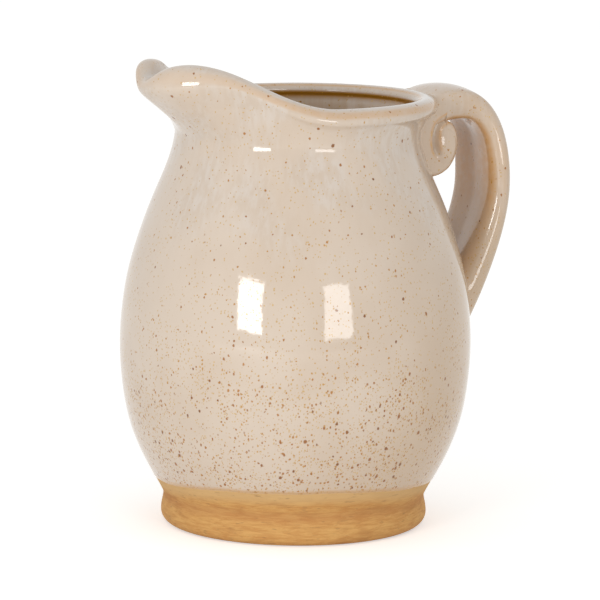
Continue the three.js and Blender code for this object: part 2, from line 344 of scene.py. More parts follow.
def on_roll(crest, outer, degrees):
    """Places round the rolled edge: the outer side has its own size, the inner side is plain."""
    a = np.radians(degrees)
    outside = np.asarray(degrees) < 90
    wide = np.where(outside, outer[0], rim_roll)
    tall = np.where(outside, outer[1], rim_roll_rise)
    return crest + np.column_stack([wide * np.cos(a), tall * (np.sin(a) - 1)])


def oval_share(height):
    """The neck and rim are squeezed oval, narrower from front to back."""
    climb = np.clip((np.asarray(height, float) - seam_height) / (rim_height - seam_height), 0, 1)
    return 1 - rim_oval * climb**rim_oval_power


# Heights of the belly's rows: close together at the glaze line, wider above
fine_rows_top = 27.5
fine_row_step = 0.45
wide_rows_from = 27.8
wide_row_step = 1.55
last_row_gap = 0.8
low_heights = np.concatenate(
    [
        np.arange(waist_height, fine_rows_top, fine_row_step),
        np.arange(wide_rows_from, seam_height - last_row_gap, wide_row_step),
        [seam_height],
    ]
)
neck_heights = np.linspace(seam_height, neck_height, neck_rows)[1:]
inner_low_heights = np.linspace(seam_height, waist_height, inner_rows)
inner_neck_heights = np.linspace(neck_height, seam_height, neck_rows)[1:-1]


def inner_wall(heights):
    """Inner face of the wall, one wall thickness under the outer face."""
    along = unit(np.gradient(belly_line, axis=0))
    inside = belly_line + wall_thickness * np.column_stack([-along[:, 1], along[:, 0]])
    inside = inside[np.argsort(inside[:, 1])]
    return np.column_stack([np.interp(heights, inside[:, 1], inside[:, 0]), heights])


def collar_section(angle):
    """Flare, roll and inner lip at an angle from the spout, the roll's turns, and the lip's iron
    line, which also paints the shade under the roll.
    """
    share = spout_share(angle)
    crest = rim_crest(angle)
    outer = lip_size(angle)
    neck = np.array([neck_radius, neck_height + spout_neck_lift * share])
    under = blend(rim_under_angle, spout_under_angle, ramp(share, *spout_under_share))
    edge = on_roll(crest, outer, np.array([-under]))[0]
    slope = math.radians(under)
    rising = np.array([outer[0] * math.sin(slope), outer[1] * math.cos(slope)])
    # Under the spout the flare runs nearly straight out from the neck, and turns near its edge
    run = np.linalg.norm(edge - neck)
    lead = unit((edge - neck) / run + [0, spout_lead_upright])
    rising = unit(rising) * run * blend(rim_flare_turn, spout_flare_turn, share)
    turning = blend(np.array([0, neck_turn]), lead * run / 3, share)
    flare = cubic(neck, neck + turning, edge - rising, edge, flare_points)
    flare = even(flare, flare_rows + 1)[1:]
    inner_angle = blend(rim_inner_angle, spout_inner_angle, share)
    turns = np.linspace(-under, inner_angle, roll_rows + 1)[1:]
    roll = on_roll(crest, outer, turns)
    # Inside the rim a short upright band ends in an undercut; in the spout both run on smoothly
    inner = roll[-1]
    fall_turn = math.radians(inner_angle)
    falling = np.array([-math.sin(fall_turn), math.cos(fall_turn)])
    band = inner + rim_band * blend(np.array([0, -1]), falling, share)
    cut = band + rim_undercut * blend(np.array([1, -0.5]), falling, share)
    inner_neck = np.array([neck_radius - wall_thickness, neck[1]])
    lead = cut + falling * share * np.linalg.norm(cut - inner_neck) / 2
    drop = cubic(cut, lead, inner_neck + [0, neck_turn], inner_neck, lip_points)
    # More rows on the band and its undercut than on the plain fall to the neck
    fall = even(softened(np.vstack([inner, band, drop]), lip_corner), fall_points)
    place = np.linspace(0, 1, lip_rows + 1)[1:] ** lip_crowding
    fall_places = np.linspace(0, 1, fall_points)
    lip = np.column_stack([np.interp(place, fall_places, fall[:, k]) for k in (0, 1)])
    # Brown below the roll: iron break, and painted shade in the undercut
    below_roll = 1 - ramp(inner[1] - lip[:, 1], *iron_shade_reach)
    return np.vstack([flare, roll, lip]), turns, below_roll * (1 - share)


# Rows of the whole wall in order: up the outside, over the rim, and down the inside
rows_low = len(low_heights)
row_seam_out = rows_low - 1
row_neck_out = row_seam_out + len(neck_heights)
row_roll = row_neck_out + flare_rows
row_lip = row_roll + roll_rows
row_neck_in = row_lip + lip_rows
row_seam_in = row_neck_in + len(inner_neck_heights) + 1
row_count = row_seam_in + len(inner_low_heights)
row_notch_out = row_neck_out + notch_above_neck
row_notch_in = row_neck_in - notch_short_of_neck
column_angles = np.arange(turn_columns) * 360 / turn_columns


def glaze_line(around):
    """Height of the glaze's lower edge at a bearing round the jug, dipped a little askew."""
    tilt = glaze_line_tilt * np.cos(around - math.radians(glaze_line_high_bearing))
    waves = sum(size * np.sin(count * around + phase) for size, count, phase in glaze_line_waves)
    return glaze_line_height + tilt + waves


def hand_wobble(around, height):
    """Small unevenness that a hand leaves on the turning clay."""
    return sum(
        size * np.sin(count * around + height / climb + phase)
        for size, count, climb, phase in slow_waves + quick_waves
    )


def whole_wall():
    """Every point of the jug's wall, row by row, its shading, and what the glaze does there, with
    painted shade under the roll and inside.
    """
    shape = (row_count, turn_columns)
    point = np.zeros(shape + (3,))
    above_line = np.full(shape, fully_glazed)
    thin, pooled, iron, inside = np.zeros((4,) + shape)
    outer_heights = np.concatenate([low_heights, neck_heights])
    outer = np.column_stack([belly_radius_at(outer_heights), outer_heights])
    inner = inner_wall(np.concatenate([inner_neck_heights, inner_low_heights]))
    neck_out = slice(rows_low, row_neck_out + 1)
    neck_in = slice(row_neck_in + 1, row_seam_in)
    rolled = slice(row_roll + 1, row_lip + 1)
    fallen = slice(row_lip + 1, row_neck_in + 1)
    depth = np.linspace(0, 1, lip_rows)
    for j, bearing in enumerate(column_angles):
        around = math.radians(bearing)
        from_spout = (bearing + 360) % 360 - 180
        share = spout_share(from_spout)
        collar, turns, undercut = collar_section(from_spout)
        line = np.vstack([outer, collar, inner])
        for neck in (neck_out, neck_in):
            line[neck, 1] += neck_lift(from_spout, line[neck, 1])
        line[:, 0] += hand_wobble(around, line[:, 1]) * ramp(line[:, 1], *hand_starts)
        above = low_heights - glaze_line(around)
        coat = glaze_thickness * ramp(above, *glaze_edge)
        coat = coat + glaze_lip * bell(above, *glaze_lip_place)
        line[:rows_low, 0] += coat - glaze_thickness
        above_line[:rows_low, j] = np.clip(above, fully_bare, fully_glazed)
        outer_side = ramp(turns, *outer_thin_from) * (1 - ramp(turns, *outer_thin_until))
        inner_side = bell(turns, *inner_thin_place)
        thin[rolled, j] = outer_side * blend(outer_thin_rim, outer_thin_spout, share)
        thin[rolled, j] += inner_side * blend(inner_thin_rim, inner_thin_spout, share)
        on_top = bell(turns, *pool_place) * blend(pool_rim, pool_spout, share)
        channel = bell(from_spout, 0, channel_half_angle) * ramp(turns, *channel_pool_from)
        pooled[rolled, j] = np.maximum(on_top, channel)
        # Brown iron line under the roll, which also paints the shade of the undercut
        iron[rolled, j] = ramp(turns, *iron_shade_from) * (1 - share)
        iron[fallen, j] = undercut
        # A browner tint inside, which paints part of the interior's shade
        inside[fallen, j] = ramp(depth - inside_spout_shift * share, *inside_from)
        inside[row_neck_in + 1 :, j] = 1
        point[:, j, 0] = line[:, 0] * math.cos(around)
        point[:, j, 1] = line[:, 0] * math.sin(around) * oval_share(line[:, 1])
        point[:, j, 2] = line[:, 1]
    across = np.roll(point, -1, 1) - np.roll(point, 1, 1)
    along = np.gradient(point, axis=0)
    normal = unit(np.cross(across, along))
    # The cove at the waist is soft: its shading turns slowly from the foot's upright side
    around = np.radians(column_angles)
    upright = np.column_stack([circle(around), np.zeros(turn_columns)])
    leave = ramp(low_heights - waist_height, *cove_shading)[:, None, None]
    normal[:rows_low] = blend(upright[None], normal[:rows_low], leave)
    finish = {"above_line": above_line, "thin": thin, "pooled": pooled, "iron": iron}
    return point, unit(normal), {**finish, "inside": inside}


wall_point, wall_normal, wall_finish = whole_wall()


def make_piece(name, points, faces, finish, sharp_angle=None):
    """A mesh piece in metres with its finish values, smooth all over or between sharp edges."""
    mesh = bpy.data.meshes.new(name)
    mesh.from_pydata((np.asarray(points) * MM).tolist(), [], faces)
    mesh.polygons.foreach_set("use_smooth", [True] * len(mesh.polygons))
    for key in wall_finish:
        layer = mesh.attributes.new(key, "FLOAT", "POINT")
        layer.data.foreach_set("value", np.asarray(finish[key], np.float32))
    if sharp_angle is not None:
        mesh.set_sharp_from_angle(angle=math.radians(sharp_angle))
    mesh.validate()
    mesh.update()
    piece = bpy.data.objects.new(name, mesh)
    bpy.context.scene.collection.objects.link(piece)
    return piece


def wall_piece(name, quads, caps):
    """A piece of the wall: its skin, and the flat hidden faces where it meets its neighbours."""
    used = sorted({p for face in quads + caps for p in face})
    index = {p: i for i, p in enumerate(used)}
    rows = np.array([p[0] for p in used])
    columns = np.array([p[1] for p in used])
    faces = [[index[p] for p in face] for face in quads + caps]
    finish = {key: values[rows, columns] for key, values in wall_finish.items()}
    piece = make_piece(name, wall_point[rows, columns], faces, finish)
    mesh = piece.data
    mesh.polygons.foreach_set("use_smooth", [True] * len(quads) + [False] * len(caps))
    normals = wall_normal[rows, columns].tolist()
    own = (0.0, 0.0, 0.0)
    mesh.normals_split_custom_set(
        [normals[v] if p.index < len(quads) else own for p in mesh.polygons for v in p.vertices]
    )
    return piece


def quads_between(rows, columns):
    """Faces of the wall from row to row, for columns that each reach to the next one."""
    faces = []
    for j in columns:
        k = (j + 1) % turn_columns
        for a, b in zip(rows[:-1], rows[1:]):
            faces.append([(a, j), (a, k), (b, k), (b, j)])
    return faces


def skin_quads(first_row, last_row, columns):
    return quads_between(range(first_row, last_row + 1), columns)


def meeting_quads(from_row, to_row, columns):
    return quads_between((from_row, to_row), columns)


all_columns = range(turn_columns)
spout_from = int(round((180 - spout_half_angle) * turn_columns / 360))
spout_to = int(round((180 + spout_half_angle) * turn_columns / 360))
spout_columns = range(spout_from, spout_to)
rim_columns = [j for j in all_columns if j not in spout_columns]
notch_rows = range(row_notch_out, row_notch_in + 1)

belly_shell = wall_piece(
    "belly_shell",
    skin_quads(0, row_seam_out, all_columns) + skin_quads(row_seam_in, row_count - 1, all_columns),
    meeting_quads(row_seam_out, row_seam_in, all_columns)
    + meeting_quads(row_count - 1, 0, all_columns),
)
rim_collar = wall_piece(
    "rim_collar",
    skin_quads(row_seam_out, row_seam_in, rim_columns)
    + skin_quads(row_seam_out, row_notch_out, spout_columns)
    + skin_quads(row_notch_in, row_seam_in, spout_columns),
    meeting_quads(row_seam_in, row_seam_out, all_columns)
    + meeting_quads(row_notch_out, row_notch_in, spout_columns)
    + [[(i, spout_from) for i in reversed(notch_rows)], [(i, spout_to) for i in notch_rows]],
)
spout_lip = wall_piece(
    "spout_lip",
    skin_quads(row_notch_out, row_notch_in, spout_columns),
    meeting_quads(row_notch_in, row_notch_out, spout_columns)
    + [[(i, spout_from) for i in notch_rows], [(i, spout_to) for i in reversed(notch_rows)]],
)


def turned_piece(name, outline, above_line, columns, on_axis):
    """A piece turned on the jug's axis from an outline that runs outside, up and back in."""
    count = len(outline)
    points = []
    above = []
    for turn in np.arange(columns) * 2 * math.pi / columns:
        for (radius, height), coat in zip(outline, above_line):
            points.append((radius * math.cos(turn), radius * math.sin(turn), height))
            above.append(height - glaze_line(turn) if coat is None else coat)
    faces = []
    starts = [(j * count, ((j + 1) % columns) * count) for j in range(columns)]
    for here, there in starts:
        for i in range(count - 1 if on_axis else count):
            k = (i + 1) % count
            faces.append([here + i, there + i, there + k, here + k])
    if on_axis:
        low = len(points)
        points += [(0, 0, outline[0][1]), (0, 0, outline[-1][1])]
        above += [above_line[0], above_line[-1]]
        for here, there in starts:
            faces.append([low, there, here])
            faces.append([low + 1, here + count - 1, there + count - 1])
    zeros = np.zeros(len(points))
    finish = {"above_line": np.clip(above, fully_bare, fully_glazed)}
    finish.update(thin=zeros, pooled=zeros, iron=zeros)
    # Glaze well inside the jug gets the browner tint that paints part of the interior's shade
    finish["inside"] = np.where(np.asarray(above) > well_inside, 1.0, 0.0)
    return make_piece(name, points, faces, finish, turned_crease)


def foot_outline():
    """The foot band from its standing edge up to the waist, and down inside to the floor's seat."""
    turn = np.radians(np.linspace(-90, 0, foot_roll_rows))
    roll_middle = np.array([foot_radius - foot_roll, foot_roll])
    roll = roll_middle + foot_roll * circle(turn)
    top_radius = waist_radius - glaze_thickness
    swell = cubic(
        (foot_radius, foot_roll),
        (foot_radius, foot_roll + foot_swell_low),
        (top_radius, waist_height - foot_swell_high),
        (top_radius, waist_height),
        foot_swell_rows,
    )[1:]
    inner_waist = inner_wall(np.array([waist_height]))[0]
    bevel = cubic(
        inner_waist,
        inner_waist - floor_bevel_lead,
        (floor_radius + floor_bevel_flat, floor_thickness),
        (floor_radius, floor_thickness),
        floor_bevel_rows,
    )
    seat = [
        (floor_radius, floor_plug_height),
        (floor_plug_radius, floor_plug_height),
        (floor_plug_radius, 0.0),
    ]
    by_line = [None] * (len(roll) + len(swell))
    cover = by_line + [fully_glazed] * len(bevel) + [fully_bare] * len(seat)
    return np.vstack([roll, swell, bevel, seat]), cover


foot_line, foot_cover = foot_outline()
clay_foot = turned_piece("clay_foot", foot_line, foot_cover, turn_columns, False)
floor_under = [
    (floor_eye, 0.0),
    (floor_plug_radius / 2, 0.0),
    (floor_plug_radius - floor_chamfer, 0.0),
    (floor_plug_radius, floor_chamfer),
    (floor_plug_radius, floor_plug_height),
    (floor_radius, floor_plug_height),
]
floor_top_radii = (floor_radius, floor_radius * 0.8, floor_radius / 2, floor_eye)
floor_top = [(radius, floor_thickness) for radius in floor_top_radii]
floor_cover = [fully_bare] * len(floor_under) + [fully_glazed] * len(floor_top)
floor_disc = turned_piece("floor_disc", floor_under + floor_top, floor_cover, floor_columns, True)


def strap_line():
    """Middle line of the strap in the handle's plane: root in the rim, crest, bulge and foot."""
    top = rim_height + crest_above_rim
    crest = np.array([rim_edge + crest_out_from_rim, top - strap_thickness / 2])
    root = np.array([neck_radius - root_inside_neck, crest[1] - root_drop])
    bulge = np.array([bulge_reach, top - bulge_below_crest])
    foot_reach = belly_radius_at(handle_foot_height) - foot_inside_belly
    foot = np.array([foot_reach, handle_foot_height])
    across = np.array([(bulge[0] - crest[0]) * shoulder_roundness, 0])
    down = np.array([0, (crest[1] - bulge[1]) * shoulder_roundness])
    rise = np.array([(crest[0] - root[0]) / 2, 0])
    lean = math.radians(foot_lean_angle)
    lead = foot + foot_sweep * np.array([math.sin(lean), math.cos(lean)])
    line = np.vstack(
        [
            cubic(root, root + rise, crest - rise, crest, crest_points),
            cubic(crest, crest + across, bulge + down, bulge, bow_points)[1:],
            cubic(bulge, bulge - [0, bulge_sweep], lead, foot, bow_points)[1:],
        ]
    )
    return softened(line, strap_line_round)


def strap_section(inner_corner):
    """Section of the strap: crowned outside, round edges, and a groove with soft lips inside."""
    side = strap_width / 2
    outer = strap_thickness / 2
    flat = side - strap_outer_edge
    edge_height = outer - strap_crown - strap_outer_edge
    groove = min(groove_width / 2, side - inner_corner - groove_corner_gap)
    groove_floor = groove_depth - outer
    across = np.linspace(0, flat, crown_points)[:-1]
    crowned = np.column_stack([across, outer - strap_crown * (across / flat) ** 2])
    upper_turn = np.radians(np.linspace(90, 0, edge_points))
    upper_edge = circle(upper_turn) * strap_outer_edge
    lower_turn = np.radians(np.linspace(0, -90, corner_points))[1:]
    lower_edge = circle(lower_turn) * [inner_corner, edge_height + outer]
    half = np.vstack(
        [
            crowned,
            upper_edge + [flat, edge_height],
            lower_edge + [side - inner_corner, edge_height],
            [(groove, -outer)],
            [(groove - groove_slope, groove_floor)],
            [(0, groove_floor + groove_middle_rise)],
        ]
    )
    mirrored = half[-2:0:-1] * [-1, 1]
    return even(softened(np.vstack([half, mirrored]), section_round, True), strap_columns, True)


def outer_depth(points):
    """How deep points lie under the jug's outer face on the handle side, in millimetres."""
    height = points[..., 2]
    radius = np.hypot(points[..., 0], points[..., 1] / oval_share(height))
    collar = collar_section(180.0)[0]
    line = np.vstack([belly_line, collar[: flare_rows + roll_rows // 2]])
    line = line[np.argsort(line[:, 1], kind="stable")]
    face = np.interp(height, line[:, 1], line[:, 0])
    depth = np.where(height < line[-1, 1], face - radius, clear_of_wall)
    past_crest = (radius < rim_radius) & (height > neck_height)
    return np.where(past_crest, join_depth, depth)


def trimmed(lines):
    """Long lines of a handle piece, cut where both ends have run a little way into the wall."""
    depth = outer_depth(lines)
    middle = lines.shape[1] // 2
    cut = []
    for line, deep in zip(lines, depth):
        first = middle
        while first > 0 and deep[first] < join_depth:
            first -= 1
        last = middle
        while last < len(line) - 1 and deep[last] < join_depth:
            last += 1
        cut.append(even(line[first : last + 1], strap_rows))
    return np.array(cut)


def tube_faces(rows, columns):
    """Faces round a tube of rings, with both of its ends closed."""
    faces = []
    for i in range(rows - 1):
        low = i * columns
        high = low + columns
        for j in range(columns):
            k = (j + 1) % columns
            faces.append([high + j, high + k, low + k, low + j])
    last = (rows - 1) * columns
    faces.append(list(range(columns)))
    faces.append([last + j for j in reversed(range(columns))])
    return faces


# Glaze on the strap: thin and tan on the face toward the jug, which also paints the shade there,
# painted shade on the near side and outer face, a white run, and fading to the foot
facing_in_share = (0.6, 0.92)
strap_fades = (0.5, 0.78)
strap_thin_outside = 0.1
strap_thin_and_shade_inside = 0.95
strap_thin_foot_share = 0.3
groove_lip_thin = 0.2
groove_lip_place = (groove_width / 2 + 0.3, 0.8)
strap_run_pool = 0.3
strap_run_place = (-3.5, 2.4)
strap_run_from = (0.1, 0.18)
strap_run_until = (0.26, 0.4)
strap_shade_outside = 0.3


def strap_finish(section):
    """What the glaze does along the strap and round its section, with the painted shade on its
    faces.
    """
    tangent = np.roll(section, -1, 0) - np.roll(section, 1, 0)
    inward = tangent[:, 0] / np.linalg.norm(tangent, axis=1)
    inward = inward * (1 if inward[section[:, 1].argmin()] > 0 else -1)
    facing_in = ramp(inward, *facing_in_share)[None]
    across = section[:, 0][None]
    row = np.linspace(0, 1, strap_rows)[:, None]
    fade = 1 - ramp(row, *strap_fades)
    thin = strap_thin_outside * fade
    # Tan on the face toward the jug: thin glaze, and also painted shade between strap and jug
    thin = thin + strap_thin_and_shade_inside * facing_in * blend(strap_thin_foot_share, 1, fade)
    thin = thin + groove_lip_thin * facing_in * bell(across, *groove_lip_place)
    run = ramp(row, *strap_run_from) * (1 - ramp(row, *strap_run_until))
    pooled = strap_run_pool * facing_in * bell(across, *strap_run_place) * run
    # Painted shade on the near side and the outer face, fading to the foot
    shade_tint = strap_shade_outside * fade * (1 - facing_in)
    zeros = np.zeros(thin.size)
    finish = {"above_line": zeros + fully_glazed, "iron": zeros}
    finish.update(thin=thin.ravel(), pooled=pooled.ravel(), inside=shade_tint.ravel())
    return finish


def strap_handle_piece():
    line = even(strap_line(), strap_points)
    along = unit(np.gradient(line, axis=0))
    run = np.linspace(0, 1, len(line))
    length = np.linalg.norm(np.diff(line, axis=0), axis=1).sum()
    full = strap_section(strap_inner_corner)
    rounder = strap_section(strap_foot_corner)
    rounding = ramp(run, *strap_rounds)
    taper = blend(strap_root_width, strap_foot_width, ramp(run, *strap_widens))
    spread_end = root_spread_from + root_spread_run
    spread = root_spread * (1 - ramp(run * length, root_spread_from, spread_end))
    upper = ramp(full[:, 1], *root_spread_side)
    thickness = blend(strap_root_thickness, strap_thickness, ramp(run, *strap_thins))
    thickness += (strap_foot_thickness - strap_thickness) * ramp(run, *strap_thickens)
    outer = strap_thickness / 2
    rings = np.zeros((strap_columns, len(line), 3))
    for k in range(len(line)):
        section = blend(full, rounder, rounding[k])
        deep = outer + (section[:, 1] - outer) * thickness[k] / strap_thickness
        rings[:, k, 0] = line[k, 0] - along[k, 1] * deep
        rings[:, k, 1] = section[:, 0] * ((taper[k] + spread[k] * upper) / strap_width)
        rings[:, k, 2] = line[k, 1] + along[k, 0] * deep
    cut = trimmed(rings)
    # A little glaze fillet swells the strap where it meets the wall
    depth = outer_depth(cut)
    fall = np.where(depth < 0, depth / fillet_fade, -2 * depth / join_depth)
    away = cut - cut.mean(axis=0)[None]
    away /= np.maximum(np.linalg.norm(away, axis=2), 1e-6)[:, :, None]
    cut = cut + away * (fillet_size * np.exp(fall))[:, :, None]
    points = cut.transpose(1, 0, 2).reshape(-1, 3)
    faces = tube_faces(strap_rows, strap_columns)
    return make_piece("strap_handle", points, faces, strap_finish(full), strap_crease)


strap_handle = strap_handle_piece()

# Scroll in the handle's plane: free edge, edge hidden in wall and strap, groove, and domed eye
scroll_middle = np.array([62.0, 164.0])
scroll_free_edge = np.array(
    [
        (55.2, 149.4), (58.6, 149.5), (62.2, 150.7), (65.9, 153.6), (68.5, 158.2),
        (69.5, 163.4), (68.9, 168.2), (66.9, 171.9), (64.6, 173.3),
    ]
)
scroll_hidden_edge = np.array(
    [
        (63.4, 174.2), (63.4, 177.6), (56.0, 177.6), (49.6, 176.6), (49.3, 170.0),
        (49.4, 164.0), (50.4, 158.0), (52.6, 153.0),
    ]
)
scroll_groove = np.array(
    [
        (64.6, 175.2), (62.6, 174.1), (60.4, 172.9), (58.6, 170.6), (57.8, 166.6),
        (58.0, 162.8), (59.0, 160.0), (61.2, 158.2),
    ]
)
scroll_half_width = 16.5
eye_middle = np.array([63.0, 162.6])
eye_half_size = np.array([5.1, 8.0])
eye_dome = 1.5
scroll_edge_round = 2.6
scroll_groove_depth = 2.0
scroll_groove_half = 1.0
scroll_groove_taper = 0.22
free_edge_points = 160
scroll_outline_points = 900
scroll_groove_points = 200
innermost_ring = 0.02
side_crossings = np.linspace(0.9, -0.9, 14)

# Glaze on the scroll: thin on the groove's lip and the edge, pooled in the groove
scroll_thin = 0.16
scroll_lip_thin = 0.8
scroll_lip_place = (2.0, 0.6)
scroll_edge_thin = 0.3
scroll_edge_place = (0.4, 0.9)
scroll_pool = 0.5
scroll_pool_half = 0.8


def through(points, count):
    """A smooth curve through points."""
    ends = np.vstack([2 * points[0] - points[1], points, 2 * points[-1] - points[-2]])
    curve = []
    for a, b, c, d in zip(ends[:-3], ends[1:-2], ends[2:-1], ends[3:]):
        curve.append(cubic(b, b + (c - a) / 6, c - (d - b) / 6, c, span_points)[:-1])
    return even(np.vstack(curve + [points[-1:]]), count)


def near_line(points, line):
    """Distance from points to a drawn line, and how far along it the nearest place is."""
    gap = np.linalg.norm(points[..., None, :] - line, axis=-1)
    return gap.min(-1), gap.argmin(-1) / (len(line) - 1)


def handle_scroll_piece():
    free = through(scroll_free_edge, free_edge_points)
    outline = even(np.vstack([free, scroll_hidden_edge]), scroll_outline_points, True)
    spoke = outline - scroll_middle
    bearing = np.arctan2(spoke[:, 1], spoke[:, 0]) % (2 * math.pi)
    order = np.argsort(bearing)
    turn = np.linspace(0, 2 * math.pi, scroll_columns, endpoint=False)
    length = np.linalg.norm(spoke, axis=1)
    reach = np.interp(turn, bearing[order], length[order], period=2 * math.pi)
    edge = scroll_middle + reach[:, None] * circle(turn)
    share = np.sin(np.linspace(innermost_ring, 1, scroll_rings) * math.pi / 2)
    flat = scroll_middle + share[:, None, None] * (edge - scroll_middle)[None]
    gap_edge = near_line(flat, free)[0]
    gap_groove, along = near_line(flat, through(scroll_groove, scroll_groove_points))
    short_of_flat = np.maximum(scroll_edge_round - gap_edge, 0)
    rounded = np.sqrt(np.maximum(scroll_edge_round**2 - short_of_flat**2, 0))
    taper = ramp(1 - along, 0, scroll_groove_taper)
    cut = scroll_groove_depth * taper * bell(gap_groove, 0, scroll_groove_half)
    eye = ((flat - eye_middle) / eye_half_size) ** 2
    dome = eye_dome * np.maximum(1 - eye.sum(-1), 0)
    level = scroll_half_width - (scroll_edge_round - rounded) - cut + dome
    lip_thin = scroll_lip_thin * bell(gap_groove, *scroll_lip_place) * taper
    edge_thin = scroll_edge_thin * bell(gap_edge, *scroll_edge_place)
    thin = scroll_thin + lip_thin + edge_thin
    pool = scroll_pool * bell(gap_groove, 0, scroll_pool_half) * taper
    # Rings over the near face, across the free side, and back over the far face
    rings = [np.column_stack([f[:, 0], -up, f[:, 1]]) for f, up in zip(flat, level)]
    rings += [np.column_stack([edge[:, 0], -level[-1] * c, edge[:, 1]]) for c in side_crossings]
    rings += [np.column_stack([f[:, 0], up, f[:, 1]]) for f, up in zip(flat[::-1], level[::-1])]
    side_thin = [thin[-1] * abs(c) for c in side_crossings]
    side_pool = [np.zeros(scroll_columns)] * len(side_crossings)
    points = np.vstack(rings)
    zeros = np.zeros(len(points))
    finish = {"above_line": zeros + fully_glazed, "iron": zeros, "inside": zeros}
    finish["thin"] = np.concatenate([*thin, *side_thin, *thin[::-1]])
    finish["pooled"] = np.concatenate([*pool, *side_pool, *pool[::-1]])
    faces = tube_faces(len(rings), scroll_columns)
    return make_piece("handle_volute", points, faces, finish, scroll_crease)


handle_volute = handle_scroll_piece()


def linear(code):
    """An sRGB hex colour as linear light."""
    parts = [int(code[i : i + 2], 16) / 255 for i in (1, 3, 5)]
    return [p / 12.92 if p <= 0.04045 else ((p + 0.055) / 1.055) ** 2.4 for p in parts] + [1.0]


def add(tree, kind, settings=None, inputs=None, out=0):
    """Add a node, set its inputs to values or colours or link them, and give one output."""
    node = tree.nodes.new("ShaderNode" + kind)
    for name, value in (settings or {}).items():
        setattr(node, name, value)
    for name, value in (inputs or {}).items():
        if isinstance(value, bpy.types.NodeSocket):
            tree.links.new(value, node.inputs[name])
        else:
            node.inputs[name].default_value = linear(value) if isinstance(value, str) else value
    return node.outputs[out] if len(node.outputs) else None


def new_tree(name):
    material = bpy.data.materials.new(name)
    material.use_nodes = True
    material.node_tree.nodes.clear()
    return material, material.node_tree


# Settings that many nodes share, and the place of a mixed colour among a node's outputs
COLOUR = {"data_type": "RGBA"}
NUMBER = {"data_type": "FLOAT"}
SOFT = {"interpolation_type": "SMOOTHSTEP"}
TIMES = {"operation": "MULTIPLY"}
PLUS = {"operation": "ADD"}
MIXED = 2


def clay_colour(tree, place, height, above):
    """Bare stoneware clay, sponged and brushed with an ochre wash: long level strokes, cloudy
    patches, dry scratches, a yellow strip where glaze has bled, and painted shade in the hollow at
    the waist."""
    put = partial(add, tree)
    long_place = put("VectorMath", TIMES, {0: place, 1: (1 / 9, 1 / 9, 1 / 1.1)})
    look = {"Scale": 1.0, "Detail": 7.0, "Roughness": 0.72, "Distortion": 0.7}
    strokes = put("TexNoise", None, {"Vector": long_place, **look})
    broad_place = put("VectorMath", TIMES, {0: place, 1: (1 / 16, 1 / 16, 1 / 4.5)})
    look = {"Scale": 1.0, "Detail": 4.0, "Roughness": 0.6}
    clouds = put("TexNoise", None, {"Vector": broad_place, **look})
    grit = put("TexNoise", None, {"Vector": place, "Scale": 1 / 0.7, "Detail": 2.0})
    share = put("MapRange", SOFT, {0: strokes, 1: 0.34, 2: 0.66})
    colour = put("Mix", COLOUR, {0: share, 6: "#c68e4c", 7: "#d9a964"}, MIXED)
    cloudy = put("MapRange", SOFT, {0: clouds, 1: 0.48, 2: 0.7, 4: 0.6})
    bled = put("MapRange", SOFT, {0: above, 1: -7.0, 2: -1.5, 4: 0.75})
    short_place = put("VectorMath", TIMES, {0: place, 1: (1 / 4.5, 1 / 4.5, 1 / 0.9)})
    marks = put("TexNoise", None, {"Vector": short_place, "Scale": 1.0, "Detail": 2.0})
    dry = put("MapRange", SOFT, {0: marks, 1: 0.62, 2: 0.74, 4: 0.5})
    # Painted shade: a darker band in the hollow of the waist
    waist_shade_from = put("MapRange", SOFT, {0: height, 1: 8.5, 2: 12.5, 4: 0.4})
    waist_shade_until = put("MapRange", SOFT, {0: height, 1: 17.0, 2: 12.5})
    waist_shade = put("Math", TIMES, {0: waist_shade_from, 1: waist_shade_until})
    layers = ((cloudy, "#b27c40"), (bled, "#dab67f"), (dry, "#9a7145"), (waist_shade, "#b2763f"))
    for share, hue in layers:
        colour = put("Mix", COLOUR, {0: share, 6: colour, 7: hue}, MIXED)
    relief = put("Math", PLUS, {0: strokes, 1: grit})
    return colour, relief


# Specks: spacing, largest radius, shares kept low and high, height thinned out, hues, strength
iron_specks = (
    (1.00, 0.46, 0.92, 0.26, 150.0, "#d0a962", "#c19744", 0.7),
    (1.20, 0.55, 0.56, 0.04, 125.0, "#c18c32", "#ae751a", 0.85),
    (1.55, 0.70, 0.44, 0.025, 105.0, "#b47622", "#965a08", 0.9),
    (2.40, 0.95, 0.40, 0.02, 98.0, "#9e5e14", "#7c4600", 0.95),
)
thick_speck_height = 18.0
smallest_speck_share = 0.55
solid_speck_share = 0.55


